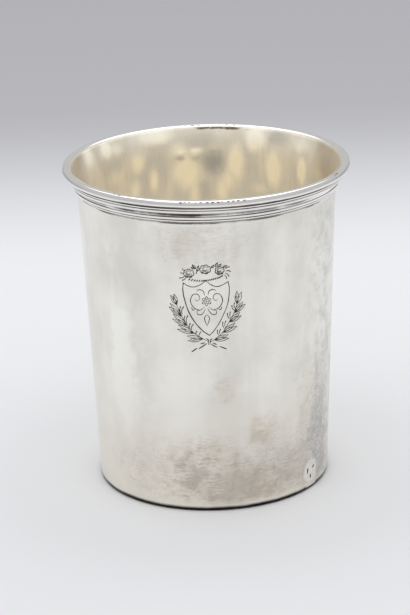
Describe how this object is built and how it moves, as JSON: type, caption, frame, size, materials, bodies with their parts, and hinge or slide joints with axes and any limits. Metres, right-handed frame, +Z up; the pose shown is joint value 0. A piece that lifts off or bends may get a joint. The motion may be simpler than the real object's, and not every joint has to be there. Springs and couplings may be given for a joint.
{
  "type": "silver timbale",
  "caption": "Straight, slightly tapered silver drinking beaker with a flared reeded rim, a rounded lip, a flat base and a gilt inside.",
  "frame": {"origin": "centre of the underside of the base, on the table that the cup stands on", "axes": "+Z up the axis of the cup, -Y towards the engraved front, +X to the right of someone facing the front"},
  "size_m": [0.076, 0.076, 0.0873],
  "materials": {
    "silver": "old polished silver with fine scratches and light tarnish",
    "solder": "silver solder, filed flush",
    "gilding": "pale worn gilding"
  },
  "bodies": {
    "root": {"body_wall": "silver", "side_seam": "solder", "base_disc": "silver", "base_solder": "solder", "thread_moulding": "silver", "moulding_joint": "solder", "moulding_solder": "solder", "lip_wire": "silver", "lip_joint": "solder", "lip_solder": "solder", "gilt_lining": "gilding"}
  },
  "joints": []
}
